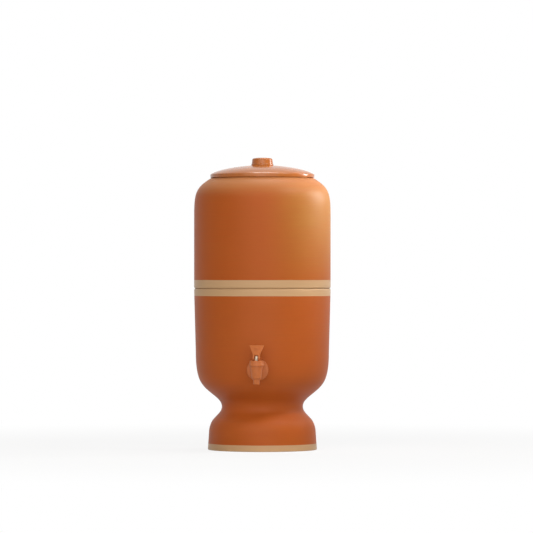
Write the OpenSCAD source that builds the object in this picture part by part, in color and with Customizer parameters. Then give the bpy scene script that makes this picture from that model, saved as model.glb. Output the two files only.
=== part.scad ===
// Gravity water filter: a clay vessel with a ceramic candle stands on a clay
// reservoir with a lever tap. Millimetres, +Z up, the tap on the -Y side. The
// origin is the centre of the foot, on the surface that the filter stands on.

/* [Reservoir] */
// Outside diameter of both vessels at their seam
belly_d = 224; // [212:1:240]
// Thickness of the thrown clay walls
wall_t = 8.5; // [7.5:0.5:10.5]
// Height of the seam, where the upper vessel rests on the reservoir
seam_z = 264.5; // [256:0.5:276]
// How much the reservoir wall narrows in radius from the seam to the bowl
belly_draft = 2.75; // [0:0.25:4]
// Height of the curved bowl, from the waist up to the wall
bowl_h = 87; // [83:1:94]
// Diameter of the waist
waist_d = 133; // [122:1:142]
// Height of the waist
waist_z = 71; // [67:1:75]
// Diameter of the foot where it stands
foot_d = 179; // [168:1:190]
// Height of the steep part of the foot
foot_wall_h = 26; // [22:1:30]
// Height of the inside bottom of the reservoir
reservoir_floor_z = 93; // [91:0.5:96]
// Thickness of the bottom of the reservoir
reservoir_floor_t = 13; // [11:0.5:14]
// Rounding of the two rims that meet at the seam
rim_r = 2.5; // [1.5:0.25:3.5]

/* [Upper vessel] */
// Height of the straight wall of the upper vessel
upper_wall_h = 111.5; // [104:0.5:120]
// Height of the rounded shoulder
shoulder_h = 70; // [64:1:76]
// Diameter of the mouth under the lid
mouth_d = 150; // [140:1:158]
// Width of the flat land around the mouth
land_w = 8; // [6:0.5:10]
// Thickness of the upper vessel's floor
upper_floor_t = 13.5; // [11:0.5:16]
// Height of the ring under the upper vessel that centres it in the reservoir
spigot_h = 14; // [10:0.5:16]
// Thickness of that centring ring
spigot_t = 10; // [8:0.5:12]
// Radial gap between the centring ring and the reservoir
spigot_gap = 2; // [1:0.25:3]

/* [Lid] */
// How far the lid's rim stands out past the land
lid_overhang = 2.4; // [1.4:0.1:3.4]
// Height of the lid's upright rim
lid_rim_h = 4.6; // [4:0.1:6]
// Rounding of the top of the rim
lid_rim_r = 1.5; // [1:0.1:2.5]
// Rise of the dome above the rim
lid_dome_h = 14; // [11:0.5:18]
// Wall thickness of the lid
lid_t = 2.8; // [2.2:0.1:3.4]
// Depth of the skirt that centres the lid in the mouth
lid_skirt_h = 12; // [8:0.5:14]
// Radial gap between the skirt and the mouth
lid_skirt_gap = 1.2; // [0.6:0.1:2]
// Diameter of the knob at its foot
knob_d = 35.2; // [32:0.2:40]
// Height of the knob
knob_h = 13; // [11:0.5:16]
// How much the knob narrows in radius towards its top
knob_draft = 1.5; // [0.5:0.1:2]
// Rounding of the knob's top edge
knob_edge_r = 3.8; // [2:0.2:5]
// Diameter of the knob's screw
knob_screw_d = 3.5; // [3:0.1:4.2]

/* [Candle] */
// Diameter of the ceramic candle
candle_d = 50; // [44:1:54]
// Height of the ceramic candle above its base
candle_h = 98; // [85:1:110]
// Wall thickness of the ceramic candle
candle_wall = 7; // [5:0.5:9]
// Depth of the cup that holds the candle
candle_cup_h = 12; // [9:0.5:15]
// Wall thickness of that cup
candle_cup_t = 2.2; // [1.8:0.1:3]
// Diameter of the candle's threaded outlet stem
outlet_d = 10; // [9:0.5:11]
// Bore of the outlet stem
outlet_bore = 4; // [3:0.5:5]
// Diameter of the rubber washers on the outlet stem
washer_d = 28; // [24:1:32]
// Thickness of those washers
washer_t = 3; // [2:0.25:4]
// Span across the wings of the nut
wing_span = 38; // [32:1:44]
// Height of the nut's hub
wing_nut_h = 8; // [7:0.5:10]

/* [Float valve] */
// Distance from the hinge pin to the centre of the float
float_reach = 62; // [56:1:66]
// Diameter of the float
float_d = 36; // [30:1:38]
// Height of the float
float_h = 30; // [24:1:34]
// Wall thickness of the float
float_wall = 1.6; // [1.2:0.1:2.2]
// How far the float arm hangs below level when the reservoir is empty
float_droop = 20; // [14:1:22]
// Distance from the outlet's axis to the hinge pin
float_pivot = 12; // [11:0.5:13]

/* [Tap] */
// Height of the tap's inlet shank
tap_z = 133.5; // [128:0.5:138]
// Diameter of the hole in the clay
tap_hole_d = 17; // [16.5:0.5:19]
// Diameter of the threaded shank
shank_d = 15; // [13:0.5:15.5]
// Bore of the shank
shank_bore = 9; // [7:0.5:9.5]
// Diameter of the round flange
flange_d = 35; // [32:0.5:38]
// Thickness of the flange
flange_t = 2.5; // [2:0.25:3.5]
// Gap between the flange and the nearest clay
flange_gap = 0.4; // [0.3:0.1:1.5]
// Distance from the flange's face to the axis of the barrel
barrel_offset = 25; // [23:0.5:30]
// Diameter of the barrel at its top
barrel_d = 20.4; // [19.4:0.2:21.8]
// Diameter of the barrel at its bottom
barrel_foot_d = 16.2; // [15.6:0.2:18]
// Distance from the shank's axis up to the cap
cap_rise = 6.5; // [6.25:0.25:8]
// Distance from the shank's axis down to the foot of the barrel
barrel_drop = 13.5; // [13:0.5:17]
// Diameter of the screwed cap
cap_d = 24; // [23.6:0.2:26]
// Height of the cap
cap_h = 9; // [8:0.5:11]
// Thickness of the cap's top
cap_top_t = 3; // [2.5:0.25:4]
// Diameter of the spout
spout_d = 10.8; // [10:0.2:12.4]
// Length of the spout
spout_h = 9; // [7:0.5:14]
// Bore of the spout
spout_bore = 7.4; // [6:0.2:8]
// Diameter of the valve stem
stem_d = 4.6; // [4:0.2:5]
// How far the stem stands out of the cap
stem_top_h = 8; // [7.5:0.25:8.5]

/* [Tap lever] */
// Height of the lever above the cap
lever_h = 24.5; // [23:0.5:32]
// Width of the thumb paddle at its top
paddle_w = 23.6; // [20:0.2:28]
// Lean of the paddle back towards the vessel
paddle_lean = 36; // [26:1:40]
// Thickness of the paddle
paddle_t = 2.8; // [2.2:0.1:3.4]
// Width across the two legs
fork_w = 11.4; // [11:0.2:13.6]
// Width of the slot between the legs
slot_w = 6.4; // [5.6:0.2:7]
// Height of the lever's pin above the cap
pin_rise = 3.9; // [3.6:0.1:4.2]
// Diameter of the lever's pin
pin_d = 2.2; // [1.8:0.1:2.4]
// Lift of the valve stem at the end of the lever's stroke
valve_lift = 3.3; // [3.2:0.1:3.6]
// Stroke of the lever, tilted forward
lever_stroke = 60; // [50:5:60]

/* [Hidden] */

$fn = 96;
eps = 0.01;          // overlap that keeps a cut clean
running_gap = 0.05;  // radial gap of a pin or a threaded stem in its hole
bead_gap = 0.3;      // gap between loose or glued-in pieces
cut_reach = 60;      // longer than any piece that a slab-shaped cut goes through

clay = "chocolate";
lid_plastic = "coral";
tap_plastic = "salmon";
white_plastic = "white";
ceramic = "ivory";
rubber = "dimgray";
steel = "silver";

// ---------- outlines of the thrown vessels, as [radius, height] ----------

// Points of a cubic curve from p0 to p3, without p0 itself
function curve(p0, p1, p2, p3, n) = [
  for (i = [1:n]) let (t = i / n, u = 1 - t)
    u * u * u * p0 + 3 * u * u * t * p1 + 3 * u * t * t * p2 + t * t * t * p3
];

// Points of a round corner about c, from angle a0 to a1
function corner(c, r, a0, a1, n = 5) = [
  for (i = [0:n]) let (a = a0 + (a1 - a0) * i / n) c + r * [cos(a), sin(a)]
];

// Points of an S curve from a to b, both upright, which leans most at the share
// "mid" of the way, by "lean" from upright; "pull" is how far each end stays straight
function s_curve(a, b, mid, lean, pull, n) =
  let (m = [a[0] + (b[0] - a[0]) * mid[0], a[1] + (b[1] - a[1]) * mid[1]],
       up = sign(b[1] - a[1]),
       out = sign(b[0] - a[0]),
       slope = [out * sin(lean), up * cos(lean)],
       first = abs(m[1] - a[1]),
       last = abs(b[1] - m[1]))
  concat(
    curve(a, a + [0, up * first * pull[0]], m - slope * first * pull[1], m, n),
    curve(m, m + slope * last * pull[2], b - [0, up * last * pull[3]], b, n)
  );

belly_r = belly_d / 2;
waist_r = waist_d / 2;
foot_r = foot_d / 2;
foot_draft = 1.75;                      // the steep foot narrows by this in radius
bowl_top_z = waist_z + bowl_h;
bowl_top_r = belly_r - belly_draft;
foot_shoulder_r = foot_r - foot_draft;

// Shape of the two S curves: where they lean most, by how much, and their pull
bowl_mid = [0.69, 0.38];
bowl_lean = 41;
bowl_pull = [0.38, 0.54, 0.16, 0.68];
foot_mid = [0.34, 0.53];
foot_lean = 40;
foot_pull = [0.68, 0, 0.52, 0.4];

// Outside of the reservoir, from the foot up to the seam
foot_corner_r = 1.5;
lower_outside = concat(
  corner([foot_r - foot_corner_r, foot_corner_r], foot_corner_r, -90, 0),
  [[foot_shoulder_r, foot_wall_h]],
  s_curve([foot_shoulder_r, foot_wall_h], [waist_r, waist_z], foot_mid, foot_lean, foot_pull, 12),
  s_curve([waist_r, waist_z], [bowl_top_r, bowl_top_z], bowl_mid, bowl_lean, bowl_pull, 16),
  corner([belly_r - rim_r, seam_z - rim_r], rim_r, 0, 90)
);

// Inside of the reservoir, from the rim down to the middle of its floor
inner_rim_r = 1.5;
reservoir_r = belly_r - wall_t;
bowl_in_top_r = bowl_top_r - wall_t;
lower_inside = concat(
  corner([reservoir_r + inner_rim_r, seam_z - inner_rim_r], inner_rim_r, 90, 180),
  [[bowl_in_top_r, bowl_top_z]],
  curve([bowl_in_top_r, bowl_top_z],
        [bowl_in_top_r - 1.5, bowl_top_z - 0.57 * (bowl_top_z - reservoir_floor_z)],
        [bowl_in_top_r - 10, reservoir_floor_z],
        [waist_r - 14, reservoir_floor_z], 14),
  [[0, reservoir_floor_z]]
);

// Hollow of the foot, from its middle down and out to the standing edge
hollow_top_z = reservoir_floor_z - reservoir_floor_t;
hollow_waist = [waist_r - wall_t, waist_z - wall_t / 2];
hollow_shoulder = [foot_shoulder_r - wall_t, foot_wall_h - wall_t / 2];
foot_hollow = concat(
  [[0, hollow_top_z]],
  curve([waist_r - 26, hollow_top_z],
        [waist_r - 14, hollow_top_z],
        [hollow_waist[0], hollow_waist[1] + 0.6 * (hollow_top_z - hollow_waist[1])],
        hollow_waist, 8),
  s_curve(hollow_waist, hollow_shoulder, [1, 1] - foot_mid, foot_lean,
          [foot_pull[3], foot_pull[2], foot_pull[1], foot_pull[0]], 12),
  corner([foot_r - wall_t + foot_corner_r, foot_corner_r], foot_corner_r, 180, 270)
);

// Radius of the reservoir's outside or inside at a height
function outside_r(z) = lookup(z, [for (p = lower_outside) [p[1], p[0]]]);
function inside_r(z) = lookup(z, [for (i = [len(lower_inside) - 2:-1:0])
                                  [lower_inside[i][1], lower_inside[i][0]]]);

// ---------- levels and radii of the upper vessel and its lid ----------

shoulder_z = seam_z + upper_wall_h;
land_z = shoulder_z + shoulder_h;
upper_floor_z = seam_z + upper_floor_t;
mouth_r = mouth_d / 2;
land_r = mouth_r + land_w;
upper_r = belly_r - wall_t;
spigot_r = reservoir_r - spigot_gap;
floor_fillet = 10;      // rounding inside the foot of the upper wall
neck_slope = 30.7;      // slope of the shoulder where it meets the land
shoulder_rise = 0.625;  // share of the shoulder's height that stays upright
shoulder_run = 33.6;    // length of the neck's pull on the shoulder curve
mouth_wall_h = 9;       // height of the upright wall of the mouth
outlet_hole_d = outlet_d + 3;

upper_outside = concat(
  corner([belly_r - rim_r, seam_z + rim_r], rim_r, -90, 0),
  [[belly_r, shoulder_z]],
  curve([belly_r, shoulder_z],
        [belly_r, shoulder_z + shoulder_rise * shoulder_h],
        [land_r, land_z] + shoulder_run * [cos(neck_slope), -sin(neck_slope)],
        [land_r, land_z], 18)
);

upper_inside = concat(
  [[mouth_r, land_z], [mouth_r, land_z - mouth_wall_h]],
  curve([mouth_r, land_z - mouth_wall_h],
        [mouth_r + 0.84 * (upper_r - mouth_r), land_z - mouth_wall_h - 9],
        [upper_r, shoulder_z - wall_t / 2 + shoulder_rise * shoulder_h - wall_t / 2],
        [upper_r, shoulder_z - wall_t / 2], 14),
  corner([upper_r - floor_fillet, upper_floor_z + floor_fillet], floor_fillet, 0, -90),
  [[0, upper_floor_z]]
);

upper_underside = [
  [0, seam_z],
  [spigot_r - spigot_t, seam_z],
  [spigot_r - spigot_t, seam_z - spigot_h],
  [spigot_r, seam_z - spigot_h],
  [spigot_r, seam_z]
];

// ---------- shapes that repeat ----------

// A body of revolution from its outline of [radius, height] points
module turned(outline) {
  rotate_extrude() polygon(outline);
}

// A plain upright ring
module ring(outer_d, inner_d, z, h) {
  translate([0, 0, z]) difference() {
    cylinder(d = outer_d, h = h);
    translate([0, 0, -eps]) cylinder(d = inner_d, h = h + 2 * eps);
  }
}

// A cylinder along -Y, from the distance y0 to y1 in front of the axis, at tap height
module shank_rod(d, y0, y1, sides = $fn) {
  translate([0, -y0, tap_z]) rotate([90, 0, 0]) cylinder(d = d, h = y1 - y0, $fn = sides);
}

// Moves its children to the axis of the tap's barrel
module at_barrel() {
  translate([0, -barrel_y, 0]) children();
}

// A round wire wound on a radius, with "turns" turns between heights z0 and z1
module coil(radius, wire_d, z0, z1, turns) {
  sides = 8;
  steps = 20 * turns;
  rings = [for (i = [0:steps]) let (a = 360 * turns * i / steps,
                                    z = z0 + wire_d / 2 + (z1 - z0 - wire_d) * i / steps)
           [for (k = [0:sides - 1]) let (b = 360 * k / sides, r = radius + wire_d / 2 * cos(b))
            [r * cos(a), r * sin(a), z + wire_d / 2 * sin(b)]]];
  walls = [for (i = [0:steps - 1]) for (k = [0:sides - 1]) let (n = (k + 1) % sides)
           [i * sides + k, (i + 1) * sides + k, (i + 1) * sides + n, i * sides + n]];
  first = [for (k = [0:sides - 1]) k];
  last = [for (k = [sides - 1:-1:0]) steps * sides + k];
  polyhedron(points = [for (r = rings) for (p = r) p], faces = concat(walls, [first, last]),
             convexity = 2 * turns);
}

// ---------- clay ----------

module lower_vessel() {
  color(clay) difference() {
    turned(concat(lower_outside, lower_inside, foot_hollow));
    shank_rod(tap_hole_d, inside_r(tap_z) - wall_t, outside_r(tap_z) + wall_t);
  }
}

module upper_vessel() {
  color(clay) difference() {
    turned(concat(upper_underside, upper_outside, upper_inside));
    translate([0, 0, seam_z - eps]) cylinder(d = outlet_hole_d, h = upper_floor_t + 2 * eps);
  }
}

// ---------- lid ----------

lid_r = land_r + lid_overhang;
lid_rim_z = land_z + lid_rim_h + lid_rim_r;          // top of the rim's rounding
lid_top_z = lid_rim_z + lid_dome_h;
rim_turn = 60;                                       // the rounding turns this far
rim_end = [lid_r - lid_rim_r, land_z + lid_rim_h] + lid_rim_r * [cos(rim_turn), sin(rim_turn)];
dome_slope = 4.5;                                    // slope of the dome at the knob
dome_pull = [17.7, 21];                              // pull of the rim and of the knob's seat
knob_r = knob_d / 2;
knob_seat_r = knob_r + 0.6;
skirt_r = mouth_r - lid_skirt_gap;
rim_foot_w = 5.4;                                    // width of the lid's resting face
knob_spigot_d = 12;
knob_bore_depth = 9;
screw_head_d = 2 * knob_screw_d + 1.5;
screw_head_h = 0.6 * knob_screw_d;
screw_washer_d = knob_spigot_d + 4;
screw_washer_t = 1;

// Outside of the lid, from the foot of its rim up to the knob's flat seat
lid_outside = concat(
  [[lid_r, land_z]],
  corner([lid_r - lid_rim_r, land_z + lid_rim_h], lid_rim_r, 0, rim_turn),
  curve(rim_end,
        rim_end + dome_pull[0] * [-sin(rim_turn), cos(rim_turn)],
        [knob_seat_r, lid_top_z] + dome_pull[1] * [cos(dome_slope), -sin(dome_slope)],
        [knob_seat_r, lid_top_z], 16)
);

module lid() {
  inner_top = [knob_seat_r, lid_top_z - lid_t];
  inner_end = [skirt_r - lid_t, lid_rim_z + 0.18 * lid_dome_h];
  inner_slope = 20;
  groove_z = land_z + lid_rim_h + 1;
  inside = concat(
    [[0, lid_top_z - lid_t], inner_top],
    curve(inner_top,
          inner_top + dome_pull[1] * [cos(dome_slope), -sin(dome_slope)],
          inner_end + dome_pull[0] * [-cos(inner_slope), sin(inner_slope)],
          inner_end, 12),
    [[skirt_r - lid_t, land_z - lid_skirt_h],
     [skirt_r, land_z - lid_skirt_h],
     [skirt_r, groove_z],
     [lid_r - rim_foot_w, groove_z],
     [lid_r - rim_foot_w, land_z]]
  );
  color(lid_plastic) difference() {
    turned(concat([[0, lid_top_z]], [for (i = [len(lid_outside) - 1:-1:0]) lid_outside[i]],
                  [for (i = [len(inside) - 1:-1:0]) inside[i]]));
    translate([0, 0, lid_top_z - 2 * lid_t])
      cylinder(d = knob_spigot_d + 2 * running_gap, h = 3 * lid_t);
  }
}

module lid_knob() {
  crown = 1.1;
  turn = 80;                                         // the edge's rounding turns this far
  top_r = knob_r - knob_draft;
  top_z = lid_top_z + knob_h;
  wall = 3.2;
  edge = [top_r - knob_edge_r, top_z - crown - knob_edge_r];
  color(lid_plastic) difference() {
    turned(concat(
      [[0, lid_top_z - lid_t], [knob_spigot_d / 2, lid_top_z - lid_t],
       [knob_spigot_d / 2, lid_top_z], [knob_r, lid_top_z]],
      corner(edge, knob_edge_r, 0, turn),
      curve(edge + knob_edge_r * [cos(turn), sin(turn)],
            [0.5 * top_r, top_z], [0.3 * top_r, top_z], [0, top_z], 6)
    ));
    translate([0, 0, lid_top_z - lid_t - eps])
      cylinder(d = knob_screw_d + 2 * running_gap, h = knob_bore_depth + eps);
    ring(2 * (top_r - wall), knob_spigot_d + 4, lid_top_z - eps, knob_h - wall - crown);
  }
}

module lid_knob_screw() {
  washer_z = lid_top_z - lid_t - screw_washer_t;
  color(steel) {
    translate([0, 0, washer_z]) cylinder(d = screw_washer_d, h = screw_washer_t);
    translate([0, 0, washer_z]) cylinder(d = knob_screw_d, h = knob_bore_depth);
    translate([0, 0, washer_z - screw_head_h]) difference() {
      cylinder(d1 = 0.7 * screw_head_d, d2 = screw_head_d, h = screw_head_h);
      for (turn = [0, 90]) rotate(turn) translate([0, 0, -eps])
        cube([0.55 * screw_head_d, 0.9, screw_head_h], center = true);
    }
  }
}

// ---------- candle ----------

candle_r = candle_d / 2;
candle_bore_r = candle_r - candle_wall;
cup_floor_t = 4;
cup_floor_z = upper_floor_z + washer_t;              // underside of the cup
candle_z = cup_floor_z + cup_floor_t;                // foot of the ceramic
felt_t = 2;
nut_z = seam_z - washer_t - wing_nut_h;              // underside of the nut's hub
valve_top_z = nut_z - 2.5;                           // top of the float valve's socket
outlet_end_z = valve_top_z - 13;
thread_d = outlet_d + 2 * running_gap;

// A round-topped upright plug: a cylinder that ends in a dome
module domed(r, z, top_z) {
  translate([0, 0, z]) cylinder(r = r, h = top_z - r - z);
  translate([0, 0, top_z - r]) intersection() {
    sphere(r = r);
    cylinder(r = r + 1, h = r + 1);
  }
}

module candle_shell() {
  color(ceramic) difference() {
    domed(candle_r, candle_z, candle_z + candle_h);
    domed(candle_bore_r, candle_z - 1, candle_z + candle_h - candle_wall);
  }
}

module candle_carbon() {
  color("black") domed(candle_bore_r - bead_gap, candle_z + felt_t + bead_gap,
                       candle_z + candle_h - candle_wall - 6);
}

module candle_felt() {
  color("gray") translate([0, 0, candle_z]) cylinder(r = candle_bore_r - bead_gap, h = felt_t);
}

module candle_base() {
  color(white_plastic) difference() {
    union() {
      translate([0, 0, cup_floor_z])
        cylinder(r = candle_r + bead_gap + candle_cup_t, h = cup_floor_t + candle_cup_h);
      translate([0, 0, outlet_end_z]) cylinder(d = outlet_d, h = cup_floor_z + 1 - outlet_end_z);
    }
    translate([0, 0, candle_z]) cylinder(r = candle_r + bead_gap, h = candle_cup_h + eps);
    translate([0, 0, outlet_end_z - eps]) cylinder(d = outlet_bore, h = candle_z - outlet_end_z + 1);
  }
}

module candle_upper_washer() {
  color(rubber) ring(washer_d, thread_d, upper_floor_z, washer_t);
}

module candle_lower_washer() {
  color(rubber) ring(washer_d, thread_d, seam_z - washer_t, washer_t);
}

module candle_wing_nut() {
  hub_d = outlet_d + 9;
  wing_t = 3.2;
  color(white_plastic) difference() {
    union() {
      translate([0, 0, nut_z]) cylinder(d = hub_d, h = wing_nut_h);
      intersection() {
        translate([-wing_span / 2, -wing_t / 2, nut_z])
          cube([wing_span, wing_t, wing_nut_h - 1.5]);
        translate([0, 0, nut_z]) cylinder(d = wing_span, h = wing_nut_h);
      }
    }
    translate([0, 0, nut_z - eps]) cylinder(d = thread_d, h = wing_nut_h + 2 * eps);
  }
}

// ---------- float valve ----------

nozzle_tip_z = outlet_end_z - 12;                    // the seat that the float closes
nozzle_d = 7;
pivot = [0, -float_pivot, nozzle_tip_z];
ear_t = 2.4;
ear_gap = 8;                                         // clear width between the two ears
ear_end = 7;                                         // how far the ears reach past the pin
arm_hub_w = ear_gap - 2 * bead_gap;
arm_hub_d = 6.4;
arm_w = 5;
arm_t = 3;
arm_drop = 2.2;                                      // top of the arm below the pin's axis
tail_l = 6;
tail_t = 2.4;
float_pin_d = 2;
seal_d = 9;
seal_t = arm_drop - bead_gap;
float_top = -arm_drop - arm_t;                       // top of the float below the pin's axis
peg_d = 6;
peg_h = 7;
float_cap_t = 2;

// Puts its children, drawn with the arm level along +Y and the pin's axis at the
// origin, to where they hang when the reservoir is empty
module hanging() {
  translate(pivot) rotate([-float_droop, 0, 0]) children();
}

// A cylinder across the valve, centred on the axis of the hinge pin
module cross_rod(d, w) {
  rotate([0, 90, 0]) cylinder(d = d, h = w, center = true);
}

module float_valve_body() {
  socket_d = outlet_d + 6.5;
  body_z = nozzle_tip_z + 4;
  ear_drop = 3;
  ear_h = 11;
  cheek_l = ear_end + seal_d / 2;                    // the ears' cheeks end short of the seal
  strap_z = nozzle_tip_z + 1;                        // and the straps behind pass over it
  // The arm's tail meets this stop when the float hangs
  stop_z = nozzle_tip_z + tail_l * sin(float_droop) + tail_t / 2 * cos(float_droop) + bead_gap;
  color(white_plastic) difference() {
    union() {
      translate([0, 0, body_z]) cylinder(d = socket_d, h = valve_top_z - body_z);
      translate([0, 0, nozzle_tip_z]) cylinder(d = nozzle_d, h = body_z - nozzle_tip_z + 1);
      for (side = [-1, 1])
        translate([side * (ear_gap + ear_t) / 2 - ear_t / 2, -float_pivot - ear_end, 0]) {
          translate([0, 0, nozzle_tip_z - ear_drop]) cube([ear_t, cheek_l, ear_h]);
          translate([0, 0, strap_z])
            cube([ear_t, float_pivot + ear_end, nozzle_tip_z - ear_drop + ear_h - strap_z]);
        }
      translate([-ear_gap / 2 - eps, -float_pivot - ear_end, stop_z])
        cube([ear_gap + 2 * eps, ear_end - tail_l / 2, nozzle_tip_z - ear_drop + ear_h - stop_z]);
    }
    translate([0, 0, outlet_end_z - 2]) cylinder(d = thread_d, h = valve_top_z - outlet_end_z + 3);
    translate([0, 0, nozzle_tip_z - 1]) cylinder(d = outlet_bore, h = outlet_end_z - nozzle_tip_z);
    translate(pivot) cross_rod(float_pin_d, ear_gap + 4 * ear_t);
  }
}

module float_pin() {
  color(steel) translate(pivot) cross_rod(float_pin_d, ear_gap + 2 * ear_t);
}

module float_arm() {
  color(white_plastic) hanging() difference() {
    union() {
      cross_rod(arm_hub_d, arm_hub_w);
      translate([-arm_hub_w / 2, -tail_l, -tail_t / 2]) cube([arm_hub_w, tail_l, tail_t]);
      translate([-arm_w / 2, 0, float_top]) cube([arm_w, float_reach, arm_t]);
      translate([0, float_pivot, float_top]) cylinder(d = seal_d + 2, h = arm_t);
      translate([0, float_reach, float_top]) cylinder(d = peg_d + 5, h = arm_t);
      translate([0, float_reach, float_top - peg_h]) cylinder(d = peg_d, h = peg_h + 1);
    }
    cross_rod(float_pin_d + 2 * running_gap, arm_hub_w + 2);
  }
}

module float_seal() {
  color(rubber) hanging() translate([0, float_pivot, -arm_drop]) cylinder(d = seal_d, h = seal_t);
}

module float_cup() {
  color(white_plastic) hanging() translate([0, float_reach, float_top - float_h]) difference() {
    union() {
      difference() {
        cylinder(d = float_d, h = float_h);
        translate([0, 0, -eps])
          cylinder(d = float_d - 2 * float_wall, h = float_h - float_wall + eps);
      }
      translate([0, 0, float_h - peg_h - 2 * float_wall])
        cylinder(d = peg_d + 2 * float_wall + 1, h = peg_h + float_wall);
    }
    translate([0, 0, float_h - peg_h - bead_gap])
      cylinder(d = peg_d + 2 * running_gap, h = peg_h + 1);
  }
}

module float_cap() {
  lip_h = 3;
  color(white_plastic) hanging()
    translate([0, float_reach, float_top - float_h - float_cap_t]) difference() {
      union() {
        cylinder(d = float_d, h = float_cap_t);
        cylinder(d = float_d - 2 * float_wall - 2 * running_gap, h = float_cap_t + lip_h);
      }
      translate([0, 0, float_cap_t])
        cylinder(d = float_d - 4 * float_wall, h = lip_h + eps);
    }
}

// ---------- tap ----------

flange_y = outside_r(tap_z + flange_d / 2) + flange_gap;   // back of the flange
flange_face_y = flange_y + flange_t;
barrel_y = flange_face_y + barrel_offset;
cap_z = tap_z + cap_rise;                            // foot of the cap
cap_top_z = cap_z + cap_h;
barrel_z = tap_z - barrel_drop;                      // foot of the barrel
spout_z = barrel_z - spout_h;
barrel_wall = 1.7;
chamber_r = barrel_foot_d / 2 - barrel_wall;
seat_z = barrel_z + 4.5;                             // valve seat inside the barrel
barrel_top_z = cap_z + cap_h - cap_top_t - 0.2;      // top of the barrel inside the cap
plug_h = 5;
plug_r = chamber_r - 0.8;
collar_h = 1.5;
stem_foot_z = seat_z + 1.5;
o_ring_d = 1.8;
cap_under_z = cap_top_z - cap_top_t;                 // underside of the cap's top
o_ring_z = cap_under_z + o_ring_d / 2;               // middle of the o-ring
o_ring_seat_r = stem_d / 2 + o_ring_d + 2 * running_gap;
spring_washer_t = 0.8;
spring_wire_d = 0.9;
spring_r = (stem_d / 2 + chamber_r) / 2;             // half-way between the stem and the barrel
spring_turns = 6;
gasket_d = 25;
inner_gasket_t = 3.5;                                // where the wall is nearest to the nut
nut_face_y = inside_r(tap_z - gasket_d / 2) - inner_gasket_t;
back_nut_t = 8;
back_nut_d = 27;                                     // across the corners of the hexagon
shank_past_nut = 3;
shank_end_y = nut_face_y - back_nut_t - shank_past_nut;
pin_z = cap_top_z + pin_rise;

module tap_body() {
  spout_draft = 0.3;
  neck_d = 2 * (cap_rise - bead_gap);                // passes just under the cap
  color(tap_plastic) difference() {
    union() {
      shank_rod(shank_d, shank_end_y, flange_face_y);
      shank_rod(flange_d, flange_y, flange_face_y);
      shank_rod(neck_d, flange_y, barrel_y);
      at_barrel() turned([
        [0, spout_z], [spout_d / 2 - spout_draft, spout_z],
        [spout_d / 2, barrel_z - 1.2], [barrel_foot_d / 2 - 1, barrel_z - 0.4],
        [barrel_foot_d / 2, barrel_z + 0.8],
        [barrel_d / 2, cap_z - 1], [barrel_d / 2, barrel_top_z], [0, barrel_top_z]
      ]);
    }
    shank_rod(shank_bore, shank_end_y - 1, barrel_y - chamber_r / 2);
    at_barrel() {
      translate([0, 0, seat_z]) cylinder(r = chamber_r, h = barrel_top_z - seat_z + 1);
      translate([0, 0, spout_z - 1]) cylinder(d = spout_bore, h = seat_z - spout_z + 2);
    }
  }
}

module tap_cap() {
  top_step = 0.6;      // the cap's upper half is this much smaller in radius
  edge = 1;
  color(tap_plastic) at_barrel() difference() {
    turned([
      [0, cap_z], [cap_d / 2 - 0.4, cap_z], [cap_d / 2, cap_z + 0.4],
      [cap_d / 2, cap_z + 0.35 * cap_h], [cap_d / 2 - top_step, cap_z + 0.5 * cap_h],
      [cap_d / 2 - top_step, cap_top_z - edge], [cap_d / 2 - top_step - edge, cap_top_z],
      [0, cap_top_z]
    ]);
    translate([0, 0, cap_z - eps])
      cylinder(d = barrel_d + 2 * running_gap, h = cap_h - cap_top_t + eps);
    translate([0, 0, cap_z]) cylinder(d = stem_d + 4 * running_gap, h = cap_h + 1);
    translate([0, 0, cap_z]) cylinder(r = o_ring_seat_r, h = o_ring_z + o_ring_d / 2 - cap_z);
  }
}

module tap_stem() {
  color(white_plastic) at_barrel() difference() {
    union() {
      domed(stem_d / 2, stem_foot_z, cap_top_z + stem_top_h);
      translate([0, 0, seat_z + plug_h]) cylinder(r = plug_r, h = collar_h);
    }
    translate([0, 0, pin_z]) rotate([0, 90, 0])
      cylinder(d = pin_d, h = stem_d + 2, center = true);
  }
}

module tap_plug_seal() {
  color(rubber) at_barrel() difference() {
    translate([0, 0, seat_z]) cylinder(r = plug_r, h = plug_h);
    translate([0, 0, stem_foot_z]) cylinder(d = stem_d, h = plug_h);
  }
}

module tap_stem_o_ring() {
  color(rubber) at_barrel() translate([0, 0, o_ring_z])
    rotate_extrude() translate([stem_d / 2 + o_ring_d / 2 + 0.02, 0]) circle(d = o_ring_d, $fn = 32);
}

module tap_spring_washer() {
  color(steel) at_barrel()
    ring(2 * chamber_r - 1, stem_d + 4 * running_gap, cap_under_z - spring_washer_t,
         spring_washer_t);
}

module tap_spring() {
  color(steel) at_barrel()
    coil(spring_r, spring_wire_d, seat_z + plug_h + collar_h, cap_under_z - spring_washer_t,
         spring_turns);
}

module tap_outer_gasket() {
  color(rubber) difference() {
    shank_rod(gasket_d, outside_r(tap_z - gasket_d / 2) - 2, flange_y);
    shank_rod(shank_d + 2 * running_gap, 0, flange_y + 1);
    turned(concat([[0, 0]], lower_outside, [[0, seam_z]]), $fn = 360);
  }
}

module tap_inner_gasket() {
  color(rubber) intersection() {
    difference() {
      shank_rod(gasket_d, nut_face_y, outside_r(tap_z));
      shank_rod(shank_d + 2 * running_gap, 0, outside_r(tap_z) + 1);
    }
    turned(concat([[0, seam_z]], lower_inside), $fn = 360);
  }
}

module tap_back_nut() {
  color(tap_plastic) difference() {
    union() {
      shank_rod(back_nut_d, nut_face_y - back_nut_t, nut_face_y - 1.5, 6);
      shank_rod(back_nut_d, nut_face_y - 1.5, nut_face_y);
    }
    shank_rod(shank_d + 2 * running_gap, nut_face_y - back_nut_t - 1, nut_face_y + 1);
  }
}

// ---------- tap lever ----------

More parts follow.
